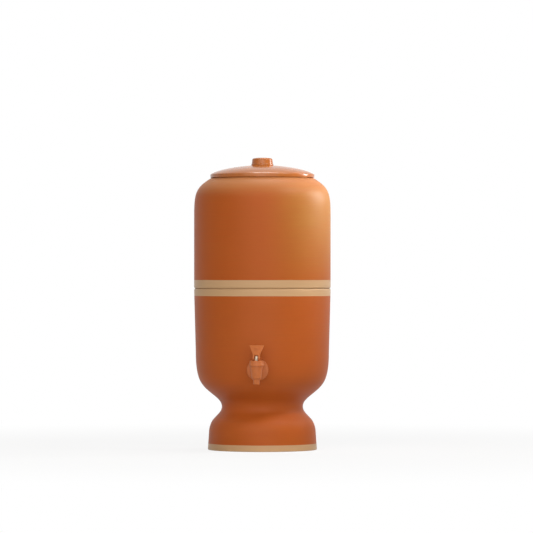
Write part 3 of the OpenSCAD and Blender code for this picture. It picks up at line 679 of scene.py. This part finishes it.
bowl_in_top = point(bowl_top.x - wall_t, bowl_top.y)
reservoir_r = belly_r - wall_t
hollow_waist = point(waist.x - wall_t, waist.y - wall_t / 2)
hollow_shoulder = point(foot_shoulder.x - wall_t, foot_shoulder.y - wall_t / 2)
inside_wall = [
    bowl_in_top + (point(reservoir_r, seam_z - edge_r) - bowl_in_top) * (1 - i / 60)
    for i in range(1, 60)
]
reservoir_inside = (
    corner(point(reservoir_r + edge_r, seam_z - edge_r), edge_r, 90, 180)
    + inside_wall
    + [bowl_in_top]
    + curve(bowl_in_top, bowl_in_top - point(1.5 * MM, 0.57 * (bowl_top.y - floor_z)),
            point(bowl_in_top.x - 10 * MM, floor_z), point(waist.x - 14 * MM, floor_z), 40)
    + [point(0, floor_z), point(0, hollow_top_z)]
    + curve(point(waist.x - 26 * MM, hollow_top_z), point(waist.x - 14 * MM, hollow_top_z),
            hollow_waist + point(0, 0.6 * (hollow_top_z - hollow_waist.y)), hollow_waist, 12)
    + s_curve(hollow_waist, hollow_shoulder, steps=20, **hollow_shape)
    + corner(point(foot_r - wall_t + edge_r, edge_r), edge_r, 180, 270)
)
reservoir = turned("clay_reservoir", reservoir_outside + reservoir_inside + reservoir_outside[:1],
                   clay, raw, len(reservoir_outside), 256, finger_depth=finger_depth)
combine(reservoir, put(turned("tap_hole", rod(tap_hole_r, 80 * MM, 120 * MM), raw, segments=64),
                       FORWARD, shift(z=tap_z)), "DIFFERENCE")
stand_in(shade(reservoir, 40), "base", "clay", "lower_vessel")

# ---------- the upper vessel ----------

shoulder = point(belly_r, 376 * MM)
land = point(83 * MM, land_z)
mouth_r = 75 * MM
mouth_foot = point(mouth_r, land_z - 9 * MM)
upper_floor_t = 13.5 * MM
spigot_gap = 2 * MM
spigot_t = 10 * MM
upper_floor_z = seam_z + upper_floor_t
spigot_r = reservoir_r - spigot_gap
spigot_in_r = spigot_r - spigot_t
spigot_z = low("upper_vessel").z
outlet_r = 6.5 * MM
fillet_r = 10 * MM
neck = math.radians(30.7)
neck_reach = 33.6 * MM
shoulder_pull = 0.625

upper_outside = soften(
    [point(spigot_r, seam_z)]
    + corner(point(belly_r - rim_r, seam_z + rim_r), rim_r, -90, 0, 10)
    + [shoulder]
    + curve(shoulder, shoulder + point(0, shoulder_pull * (land_z - shoulder.y)),
            land + neck_reach * point(math.cos(neck), -math.sin(neck)), land, 40)
    + [point(mouth_r, land_z)], 1.6 * MM)

upper_wall_top = point(reservoir_r, shoulder.y - wall_t / 2)
upper_inside = (
    [mouth_foot]
    + curve(mouth_foot, mouth_foot + point(0.84 * (reservoir_r - mouth_r), -9 * MM),
            upper_wall_top + point(0, shoulder_pull * (land_z - shoulder.y) - wall_t / 2),
            upper_wall_top, 36)
    + [upper_wall_top + (point(reservoir_r, upper_floor_z + fillet_r) - upper_wall_top) * (i / 36)
       for i in range(1, 36)]
    + corner(point(reservoir_r - fillet_r, upper_floor_z + fillet_r), fillet_r, 0, -90, 10)
    + [point(outlet_r, upper_floor_z), point(outlet_r, seam_z), point(spigot_in_r, seam_z),
       point(spigot_in_r, spigot_z), point(spigot_r, spigot_z), point(spigot_r, seam_z)])
upper_loop = soften(upper_outside + upper_inside, 1.6 * MM)
upper = turned("clay_upper_vessel", upper_loop, clay, raw, len(upper_outside), 256,
               finger_depth=finger_depth)
stand_in(upper, "upper_unit", "clay", "upper_vessel")

# ---------- the lid and its knob ----------

seat_r = 18.2 * MM
lid_t = 2.8 * MM
bore_r = 6.05 * MM
skirt_gap = 1.2 * MM
skirt_r = mouth_r - skirt_gap
skirt_z = low("lid").z
rim_foot_r = lid_r - 5.4 * MM
groove_z = land_z + 5.6 * MM
rim_turn = 60  # degrees from the upright rim to the dome's start
seat_fall = math.radians(4.5)
inner_rise = math.radians(20)
rim_reach = 17.7 * MM
seat_reach = 21 * MM
rim_round_r = 1.5 * MM
rim_round = corner(point(lid_r - rim_round_r, land_z + 4.6 * MM), rim_round_r, 0, rim_turn)
rim_way = point(-math.sin(math.radians(rim_turn)), math.cos(math.radians(rim_turn)))
seat_way = point(math.cos(seat_fall), -math.sin(seat_fall))
crown = point(seat_r, lid_top_z)
inner_crown = point(seat_r, lid_top_z - lid_t)
inner_end = point(skirt_r - lid_t, land_z + 8.62 * MM)
inner_way = point(-math.cos(inner_rise), math.sin(inner_rise))
foot_middle = point((lid_r + rim_foot_r) / 2, land_z)

lid_outside = (
    [foot_middle, point(lid_r, land_z)] + rim_round
    + curve(rim_round[-1], rim_round[-1] + rim_reach * rim_way, crown + seat_reach * seat_way,
            crown, 30)
    + [point(bore_r, lid_top_z)])
lid_inside = (
    [point(bore_r, inner_crown.y), inner_crown]
    + curve(inner_crown, inner_crown + seat_reach * seat_way,
            inner_end + rim_reach * inner_way, inner_end, 24)
    + [point(inner_end.x, skirt_z), point(skirt_r, skirt_z), point(skirt_r, groove_z),
       point(rim_foot_r, groove_z), point(rim_foot_r, land_z), foot_middle])
lid = turned("moulded_lid", soften(lid_outside + lid_inside, 0.5 * MM), lid_plastic, segments=192)
stand_in(lid, "lid_unit", "lid_plastic", "lid")

knob_top = point(knob_r - 0.9 * MM, knob_top_z)
knob_round_r = 3 * MM
knob_round = corner(knob_top - point(knob_round_r, 4.1 * MM), knob_round_r, 0, 80, 10)
foot_ring = point(knob_r + 0.5 * MM, lid_top_z + 2.3 * MM)
hollow_r = knob_top.x - 3.2 * MM
hollow_z = knob_top_z - 4.3 * MM
screw_r = 1.8 * MM
screw_z = inner_crown.y + 9 * MM
knob_outline = soften(
    [point(0, screw_z), point(screw_r, screw_z), point(screw_r, inner_crown.y),
     point(6 * MM, inner_crown.y), point(6 * MM, lid_top_z), point(8 * MM, lid_top_z),
     point(8 * MM, hollow_z), point(hollow_r, hollow_z), point(hollow_r, lid_top_z),
     point(foot_ring.x, lid_top_z), foot_ring,
     point(knob_r - 0.2 * MM, foot_ring.y + 0.5 * MM)] + knob_round, 0.4 * MM)
knob_outline += curve(knob_outline[-1], point(0.5 * knob_top.x, knob_top_z),
                      point(0.3 * knob_top.x, knob_top_z), point(0, knob_top_z), 10)
knob = turned("moulded_knob", knob_outline, lid_plastic, segments=128)
stand_in(knob, "lid_unit", "lid_plastic", "lid_knob")
finished(steel, "lid_knob_screw")

# ---------- the candle ----------

candle_r = high("candle_shell").x
candle_z = low("candle_shell").z
candle_top_z = high("candle_shell").z
candle_wall = 7 * MM
candle_in_r = candle_r - candle_wall
dome_z = candle_top_z - candle_r
candle = turned(
    "ceramic_candle",
    [point(candle_in_r, candle_z), point(candle_r, candle_z)]
    + corner(point(0, dome_z), candle_r, 0, 90, 24)
    + corner(point(0, dome_z), candle_in_r, 90, 0, 16)
    + [point(candle_in_r, candle_z)], ceramic, segments=96)
stand_in(candle, "upper_unit", "candle_ceramic", "candle_shell")

cup_r = high("candle_base").x
cup_top_z = high("candle_base").z
cup_floor_z = upper_floor_z + 3 * MM
outlet_z = low("candle_base").z
thread_core_r = 4.6 * MM
thread_crest_r = 5 * MM
thread_pitch = 1.5 * MM
grip_h = 0.6 * MM
grip_r = 0.9 * MM
cup_wall = 2.2 * MM
cup = turned("candle_cup", soften(
    [point(3.2 * MM, outlet_z), point(thread_core_r, outlet_z), point(thread_core_r, cup_floor_z),
     point(cup_r - grip_h, cup_floor_z), point(cup_r - grip_h, cup_top_z),
     point(cup_r - cup_wall, cup_top_z), point(cup_r - cup_wall, candle_z),
     point(2 * MM, candle_z), point(2 * MM, outlet_z), point(3.2 * MM, outlet_z)], 0.5 * MM),
    white_plastic, segments=96)
thread_l = cup_floor_z - outlet_z - 2 * MM
thread_wire = thread_crest_r - thread_core_r
join(cup, put(wound("cup_thread", thread_core_r, thread_wire, thread_l, thread_l / thread_pitch,
                    white_plastic), shift(z=outlet_z + 1 * MM)))
grips = 40
grip = turned("grip_rib", soften(rod(grip_r, cup_floor_z + 2 * MM, cup_top_z - 2 * MM), 0.8 * MM),
              white_plastic, segments=12)
put(grip, shift(x=cup_r - grip_r))
join(cup, run_tree(grip, ROW, {"Count": grips, "Turn": math.tau / grips, "Finish": white_plastic}))
stand_in(cup, "upper_unit", "white_plastic", "candle_base")

stand_in(copied("wing_nut", "candle_wing_nut", white_plastic, 0.7 * MM), "upper_unit",
         "white_plastic", "candle_wing_nut")
stand_in(copied("upper_rubber_washer", "candle_upper_washer", black_rubber, 0.5 * MM),
         "upper_unit", "rubber", "candle_upper_washer")
stand_in(copied("lower_rubber_washer", "candle_lower_washer", black_rubber, 0.5 * MM),
         "upper_unit", "rubber", "candle_lower_washer")
finished(carbon, "candle_carbon")
finished(felt, "candle_felt")

# ---------- the float valve ----------

stand_in(copied("float_valve", "float_valve_body", white_plastic, 0.4 * MM), "upper_unit",
         "white_plastic", "float_valve_body")
stand_in(copied("float_lever", "float_arm", white_plastic, 0.4 * MM), "float_unit",
         "white_plastic", "float_arm")
stand_in(copied("hollow_float", "float_cup", white_plastic, 1.0 * MM, segments=4), "float_unit",
         "white_plastic", "float_cup")
stand_in(copied("float_lid", "float_cap", white_plastic, 0.4 * MM), "float_unit",
         "white_plastic", "float_cap")
finished(steel, "float_pin")
finished(black_rubber, "float_seal")

# ---------- the tap ----------

barrel_y = (low("tap_cap").y + high("tap_cap").y) / 2
barrel = -barrel_y
cap_z = low("tap_cap").z
cap_top_z = high("tap_cap").z
shank_end = -high("tap_body").y
flange_back = -low("tap_outer_gasket").y
flange_t = 2.5 * MM
flange_face = flange_back + flange_t
spout_z = low("tap_body").z
valve_seat_z = low("tap_plug_seal").z
barrel_z = valve_seat_z - 4.5 * MM
barrel_top_z = cap_top_z - 3.2 * MM
chamber_r = 6.4 * MM
barrel_r = 10.2 * MM
spout_bore_r = 3.7 * MM
shank_bore_r = 4.5 * MM
shank_core_r = 7.1 * MM
neck_r = cap_z - tap_z - 0.3 * MM
flange_r = high("tap_body").z - tap_z
to_barrel = shift(y=barrel_y)

tap = put(turned("tap_shank", soften(
    [point(0, shank_end), point(shank_core_r, shank_end), point(shank_core_r, flange_back),
     point(flange_r, flange_back), point(flange_r, flange_face), point(neck_r, flange_face),
     point(neck_r, barrel), point(0, barrel)], 1.4 * MM), tap_plastic, segments=128),
    FORWARD, shift(z=tap_z))
combine(tap, put(turned("tap_barrel", soften(
    [point(0, spout_z), point(5.1 * MM, spout_z), point(5.4 * MM, barrel_z - 1.2 * MM),
     point(7.1 * MM, barrel_z - 0.4 * MM), point(8.1 * MM, barrel_z + 0.8 * MM),
     point(barrel_r, cap_z - 1 * MM), point(barrel_r, barrel_top_z), point(0, barrel_top_z)],
    0.6 * MM), tap_plastic, segments=96), to_barrel), "UNION")
combine(tap, put(turned("shank_bore", rod(shank_bore_r, shank_end - 1 * MM, barrel - chamber_r / 2),
                        tap_plastic, segments=64), FORWARD, shift(z=tap_z)), "DIFFERENCE")
combine(tap, put(turned("barrel_bore", [
    point(0, spout_z - 1 * MM), point(spout_bore_r, spout_z - 1 * MM),
    point(spout_bore_r, valve_seat_z), point(chamber_r, valve_seat_z),
    point(chamber_r, barrel_top_z + 1 * MM),
    point(0, barrel_top_z + 1 * MM)], tap_plastic, segments=64), to_barrel), "DIFFERENCE")
tap.name = "tap_barrel_and_shank"
shade(tap, 40)
shank_thread = flange_back - shank_end - 4 * MM
join(tap, put(wound("shank_thread", shank_core_r, 0.4 * MM, shank_thread,
                    shank_thread / (2 * MM), tap_plastic),
              shift(z=shank_end + 1 * MM), FORWARD, shift(z=tap_z)))
stand_in(tap, "base", "tap_plastic", "tap_body")

cap_r = 12 * MM
cap_hole_r = 2.4 * MM
gland_r = 4.2 * MM
cap_in_r = 10.25 * MM
cap = put(turned("tap_screw_cap", soften(
    [point(11 * MM, cap_z), point(cap_r - 0.4 * MM, cap_z), point(cap_r, cap_z + 0.4 * MM),
     point(cap_r, cap_z + 3.15 * MM), point(cap_r - 0.6 * MM, cap_z + 4.5 * MM),
     point(cap_r - 0.6 * MM, cap_top_z - 1 * MM), point(cap_r - 1.6 * MM, cap_top_z),
     point(cap_hole_r, cap_top_z), point(cap_hole_r, cap_top_z - 1.2 * MM),
     point(gland_r, cap_top_z - 1.2 * MM), point(gland_r, cap_top_z - 3 * MM),
     point(cap_in_r, cap_top_z - 3 * MM), point(cap_in_r, cap_z), point(11 * MM, cap_z)],
    0.6 * MM), tap_plastic, segments=96), to_barrel)
stand_in(cap, "base", "tap_plastic", "tap_cap")

stem_r = 2.3 * MM
collar_r = 5.6 * MM
stem_z = low("tap_stem").z
stem_top_z = high("tap_stem").z
collar_z = valve_seat_z + 5 * MM
pin_z = (low("tap_lever_pin").z + high("tap_lever_pin").z) / 2
stem = put(turned("tap_valve_stem", soften(
    [point(0, stem_z), point(stem_r, stem_z), point(stem_r, collar_z),
     point(collar_r, collar_z), point(collar_r, collar_z + 1.5 * MM),
     point(stem_r, collar_z + 1.5 * MM)], 0.2 * MM)
    + corner(point(0, stem_top_z - stem_r), stem_r, 0, 90, 8), stem_plastic, segments=48),
    to_barrel)
pin_r = 1.1 * MM
combine(stem, put(turned("pin_hole", rod(pin_r, -4 * MM, 4 * MM), stem_plastic, segments=96),
                  ACROSS, shift(y=barrel_y, z=pin_z)), "DIFFERENCE")
stand_in(shade(stem, 40), "tap_plunger", "white_plastic", "tap_stem")

# The lever, with three rounded bars across its face for the thumb
lever = copied("tap_thumb_lever", "tap_lever", tap_plastic, 0.45 * MM)
face_foot = Vector((0, barrel_y - 3.5 * MM, cap_top_z + 10.1 * MM))
paddle_lean = 36  # degrees back from upright
face_lean = math.tan(math.radians(paddle_lean))
face_head = face_foot + Vector((0, face_lean, 1)) * (high("tap_lever").z - face_foot.z)
face_way = (face_head - face_foot).normalized()
bar_r = 0.55 * MM
bar_l = 9 * MM
bar_step = 2.7 * MM
first_bar = face_foot + face_way * 7.5 * MM
bar_outline = (corner(point(0, -bar_l / 2), bar_r, -90, 0)
               + corner(point(0, bar_l / 2), bar_r, 0, 90))
bar = put(turned("thumb_bar", bar_outline, tap_plastic, segments=24), ACROSS)
bars = run_tree(bar, ROW, {"Count": 3, "Step": face_way * bar_step, "Widen": 0.09,
                           "Finish": tap_plastic})
combine(lever, put(bars, shift(*first_bar)), "UNION")
stand_in(shade(lever, 35), "lever", "tap_plastic", "tap_lever")

back_nut = copied("tap_lock_nut", "tap_back_nut", tap_plastic, 0.6 * MM)
stand_in(back_nut, "base", "tap_plastic", "tap_back_nut")

spring_r = 4.35 * MM
spring_wire = 0.45 * MM
spring_turns = 6
spring_foot_z = low("tap_spring").z
spring_head_z = high("tap_spring").z
spring = put(wound("tap_closing_spring", spring_r, spring_wire,
                   spring_head_z - spring_foot_z - 2 * spring_wire, spring_turns, steel),
             shift(y=barrel_y, z=spring_foot_z + spring_wire))
stand_in(spring, "base", "steel", "tap_spring")
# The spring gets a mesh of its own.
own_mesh(spring)

finished(steel, "tap_spring_washer")
# The lever pin takes the steel painted with the slot's shade.
finished(slot_shade_steel, "tap_lever_pin")
finished(black_rubber, "tap_stem_o_ring")
finished(silicone, "tap_plug_seal", "tap_outer_gasket", "tap_inner_gasket")

# ---------- floor, light and camera ----------

def seen_or_mirrored(tree, amount, otherwise=0.0):
    """An amount for what the camera, gloss and glass see, and another for the rest."""
    path = add(tree, "ShaderNodeLightPath")
    seen = maths(tree, "MAXIMUM", path.outputs["Is Camera Ray"], path.outputs["Is Glossy Ray"])
    seen = maths(tree, "MAXIMUM", seen, path.outputs["Is Transmission Ray"])
    return ranged(tree, seen, at_start=otherwise, at_end=amount)


def pale_floor(material_name, near, far):
    """Matt white paper that shows as white, plainly so past a distance, and near the filter
    still takes its faint shadow."""
    material, tree, shader, place = new_material(material_name)
    shader.inputs["Base Color"].default_value = srgb("#EDEBE8")
    shader.inputs["Roughness"].default_value = 0.95
    shader.inputs["Specular IOR Level"].default_value = 0.1
    white = add(tree, "ShaderNodeEmission", {"Color": (1, 1, 1, 1), "Strength": 1.0})
    away = add(tree, "ShaderNodeVectorMath", {0: place}, operation="LENGTH")
    whiteness = ranged(tree, away.outputs["Value"], near, far, at_start=0.85,
                       shape="SMOOTHSTEP")
    shown = maths(tree, "MULTIPLY", whiteness, seen_or_mirrored(tree, 1.0))
    blend = add(tree, "ShaderNodeMixShader", {"Fac": shown})
    tree.links.new(shader.outputs[0], blend.inputs[1])
    tree.links.new(white.outputs[0], blend.inputs[2])
    tree.links.new(blend.outputs[0], tree.nodes["Material Output"].inputs["Surface"])
    return material


floor_reach = 14
floor_mesh = bpy.data.meshes.new("floor")
floor_mesh.from_pydata([(-floor_reach, -floor_reach, 0), (floor_reach, -floor_reach, 0),
                        (floor_reach, floor_reach, 0), (-floor_reach, floor_reach, 0)],
                       [], [(0, 1, 2, 3)])
floor_mesh.materials.append(pale_floor("white_paper", near=0.25, far=1.2))
floor = new_object("floor", floor_mesh)

world = bpy.data.worlds.new("studio")
world.use_nodes = True
bpy.context.scene.world = world
sky = world.node_tree.nodes["Background"]
sky.inputs["Color"].default_value = (1, 1, 1, 1)
world.node_tree.links.new(seen_or_mirrored(world.node_tree, 1.0, otherwise=0.2),
                          sky.inputs["Strength"])


def softbox(name, place, aim, width, height, power, spread=180):
    """A soft rectangular lamp at a place, turned to face a point on the filter. A grid on its
    front keeps the light within the spread, in degrees."""
    lamp = bpy.data.lights.new(name, "AREA")
    lamp.shape = "RECTANGLE"
    lamp.size = width
    lamp.size_y = height
    lamp.energy = power
    lamp.spread = math.radians(spread)
    holder = bpy.data.objects.new(name, lamp)
    holder.location = place
    holder.rotation_euler = (Vector(place) - Vector(aim)).to_track_quat("Z", "Y").to_euler()
    bpy.context.scene.collection.objects.link(holder)


lit_shoulder = Vector((0.0946, -0.0562, 0.415))
softbox("key_softbox", (0.54, -0.31, 0.95), (0, 0, 0.4), 0.2, 0.2, 2.95)
softbox("front_left_softbox", (-0.5, -2.3, 1.35), (0, 0, 0.25), 2.4, 2.4, 27.8)
softbox("front_right_softbox", (0.6, -2.3, 0.9), (0, 0, 0.25), 2.0, 2.0, 17.6)
softbox("right_grid_softbox", (0.86, 0.25, 0.74), (0.05, -0.03, 0.42), 0.35, 0.45, 0.48,
        spread=50)
softbox("shoulder_softbox", lit_shoulder + Vector((0.3, 0.16, 0.08)), lit_shoulder,
        0.1, 0.08, 0.09, spread=60)
softbox("foot_softbox", (0.54, -0.31, 0.95), (0.045, -0.06, 0.05), 0.12, 0.12, 0.013,
        spread=14)
softbox("top_back_softbox", (0.03, 0.28, 1.25), (0, -0.06, 0.44), 0.35, 0.35, 3)

# A long lens, level, a little above the seam and a little to the right of the tap
camera_turn = math.radians(3.9)
camera_away = 6.56
camera_aside = 0.0068
camera_height = 0.3004
across = Vector((math.cos(camera_turn), math.sin(camera_turn), 0))
back = Vector((math.sin(camera_turn), -math.cos(camera_turn), 0))
lens = bpy.data.cameras.new("camera")
lens.lens = 270
lens.sensor_width = 36
lens.clip_end = 60
camera = bpy.data.objects.new("camera", lens)
camera.location = (across * camera_aside + back * camera_away
                   + Vector((0, 0, camera_height)))
camera.rotation_euler = (math.pi / 2, 0, camera_turn)
bpy.context.scene.collection.objects.link(camera)
bpy.context.scene.camera = camera
bpy.context.scene.view_settings.view_transform = "Standard"
